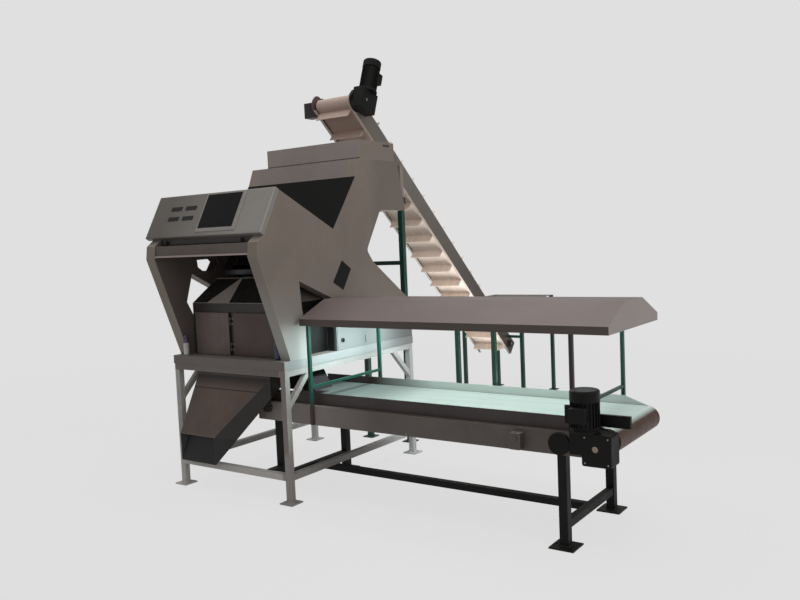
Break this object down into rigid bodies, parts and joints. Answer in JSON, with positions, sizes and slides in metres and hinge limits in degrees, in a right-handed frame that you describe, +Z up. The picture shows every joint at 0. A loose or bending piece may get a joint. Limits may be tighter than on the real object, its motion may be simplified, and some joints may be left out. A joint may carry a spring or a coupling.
{
  "type": "color sorter",
  "caption": "Optical color sorter on a tube stand with a leaning control panel, a cleated feed elevator and a canopied inspection conveyor.",
  "frame": {"origin": "floor point in the middle of the sorter stand's anchor holes", "axes": "+Z up, +X along the inspection conveyor away from the sorter, +Y to the back, towards the elevator's foot"},
  "size_m": [3.965, 5.453, 3.6906],
  "materials": {
    "body_paint": "satin warm grey coat",
    "panel_paint": "satin light grey coat",
    "dark_paint": "satin dark brown-grey coat",
    "black_paint": "semi-gloss black coat",
    "green_paint": "semi-gloss dark green coat",
    "key_plastic": "satin moulded",
    "screen_glass": "polished, dark",
    "black_plastic": "fine texture",
    "steel": "ground",
    "alloy": "bead blasted",
    "lamp_white": "opal",
    "filter_bowl": "translucent bowl, dark cap",
    "cream_belt": "smooth cream cover",
    "mint_belt": "smooth pale mint cover"
  },
  "bodies": {
    "machine": {"stand_legs": "body_paint", "stand_rails": "body_paint", "base_tray": "body_paint", "left_side_housing": "body_paint", "right_side_housing": "body_paint", "housing_liners": "dark_paint", "notch_cover": "dark_paint", "control_cabinet": "dark_paint", "front_optical_box": "body_paint", "rear_optical_box": "dark_paint", "inspection_cameras": "alloy", "lamp_tubes": "lamp_white", "feed_chute": "steel", "feeder_hood": "body_paint", "hopper": "body_paint", "feeder_vibrators": "black_paint", "ejector_manifold": "alloy", "sorting_hood": "dark_paint", "viewing_windows": "screen_glass", "reject_chute": "dark_paint", "accept_chute": "dark_paint", "rear_cover": "body_paint", "air_filters": "filter_bowl", "elevator_frame": "body_paint", "elevator_belt": "cream_belt", "elevator_gearbox": "black_paint", "elevator_motor": "black_paint", "elevator_legs": "green_paint", "infeed_hopper": "body_paint", "conveyor_side_frames": "body_paint", "conveyor_guards": "dark_paint", "conveyor_belt": "mint_belt", "conveyor_bed": "steel", "drum_bearings": "black_paint", "conveyor_gearbox": "black_paint", "conveyor_motor": "black_paint", "drive_bracket": "black_paint", "switch_box": "body_paint", "conveyor_stand": "black_paint", "canopy": "body_paint", "canopy_frame": "green_paint"},
    "panel": {"control_panel": "panel_paint", "touch_screen": "screen_glass"},
    "key_upper_left": {"upper_left_key": "key_plastic"},
    "key_upper_right": {"upper_right_key": "key_plastic"},
    "key_lower_left": {"lower_left_key": "key_plastic"},
    "key_lower_right": {"lower_right_key": "key_plastic"},
    "latch_left": {"left_panel_latch": "black_plastic"},
    "latch_right": {"right_panel_latch": "black_plastic"},
    "door_left": {"left_collection_door": "dark_paint"},
    "door_right": {"right_collection_door": "dark_paint"},
    "door_side": {"side_access_door": "body_paint"},
    "lock_side": {"side_door_lock": "black_plastic"},
    "gate": {"feed_gate": "steel"},
    "feeder": {"feeder_tray": "steel"},
    "head_drum": {"elevator_head_drum": "steel"},
    "foot_drum": {"elevator_tail_drum": "steel"},
    "drive_drum": {"conveyor_drive_drum": "steel"},
    "end_drum": {"conveyor_tail_drum": "steel"},
    "roller": {"return_roller": "steel"}
  },
  "joints": [
    {"name": "panel_lift", "type": "hinge", "parent": "machine", "child": "panel", "pos_m": [0, -0.84084, 2.44495], "axis": [-1, 0, 0], "range_deg": [0, 75]},
    {"name": "press_upper_left_key", "type": "slide", "parent": "panel", "child": "key_upper_left", "axis": [0, 0.8763, -0.4818], "range_m": [0, 0.004], "stiffness_N_per_m": 800},
    {"name": "press_upper_right_key", "type": "slide", "parent": "panel", "child": "key_upper_right", "axis": [0, 0.8763, -0.4818], "range_m": [0, 0.004], "stiffness_N_per_m": 800},
    {"name": "press_lower_left_key", "type": "slide", "parent": "panel", "child": "key_lower_left", "axis": [0, 0.8763, -0.4818], "range_m": [0, 0.004], "stiffness_N_per_m": 800},
    {"name": "press_lower_right_key", "type": "slide", "parent": "panel", "child": "key_lower_right", "axis": [0, 0.8763, -0.4818], "range_m": [0, 0.004], "stiffness_N_per_m": 800},
    {"name": "turn_left_latch", "type": "hinge", "parent": "machine", "child": "latch_left", "pos_m": [-0.46, -1.01757, 2.067], "axis": [0, 1, 0], "range_deg": [0, 90]},
    {"name": "turn_right_latch", "type": "hinge", "parent": "machine", "child": "latch_right", "pos_m": [0.405, -1.01757, 2.067], "axis": [0, 1, 0], "range_deg": [0, 90]},
    {"name": "open_left_door", "type": "hinge", "parent": "machine", "child": "door_left", "pos_m": [-0.073, -0.7425, 1.12], "axis": [0, 0, 1], "range_deg": [0, 85]},
    {"name": "open_right_door", "type": "hinge", "parent": "machine", "child": "door_right", "pos_m": [-0.039, -0.7425, 1.12], "axis": [0, 0, -1], "range_deg": [0, 85]},
    {"name": "open_side_door", "type": "hinge", "parent": "machine", "child": "door_side", "pos_m": [0.641, 0.158, 1.127], "axis": [0, 0, 1], "range_deg": [0, 85]},
    {"name": "turn_side_lock", "type": "hinge", "parent": "door_side", "child": "lock_side", "pos_m": [0.638, -0.162, 1.2], "axis": [1, 0, 0], "range_deg": [0, 90]},
    {"name": "slide_feed_gate", "type": "slide", "parent": "machine", "child": "gate", "axis": [0, -1, 0], "range_m": [0, 0.1]},
    {"name": "shake_feeder", "type": "slide", "parent": "machine", "child": "feeder", "axis": [0, 1, 0], "range_m": [-0.0015, 0.0015], "stiffness_N_per_m": 60000},
    {"name": "turn_head_drum", "type": "hinge", "parent": "machine", "child": "head_drum", "pos_m": [0.099, 0.587, 3.295], "axis": [1, 0, 0], "continuous": true},
    {"name": "turn_foot_drum", "type": "hinge", "parent": "machine", "child": "foot_drum", "pos_m": [0.099, 3.44651, 0.70216], "axis": [1, 0, 0], "continuous": true},
    {"name": "turn_drive_drum", "type": "hinge", "parent": "machine", "child": "drive_drum", "pos_m": [3.114, -0.27, 0.71], "axis": [0, 1, 0], "continuous": true},
    {"name": "turn_end_drum", "type": "hinge", "parent": "machine", "child": "end_drum", "pos_m": [0.284, -0.27, 0.71], "axis": [0, 1, 0], "continuous": true},
    {"name": "turn_return_roller", "type": "hinge", "parent": "machine", "child": "roller", "pos_m": [1.629, -0.27, 0.6177], "axis": [0, 1, 0], "continuous": true}
  ],
  "couplings": [
    {"joint": "turn_foot_drum", "follows": "turn_head_drum", "ratio": 1},
    {"joint": "turn_end_drum", "follows": "turn_drive_drum", "ratio": 1},
    {"joint": "turn_return_roller", "follows": "turn_drive_drum", "ratio": -6.6667}
  ]
}
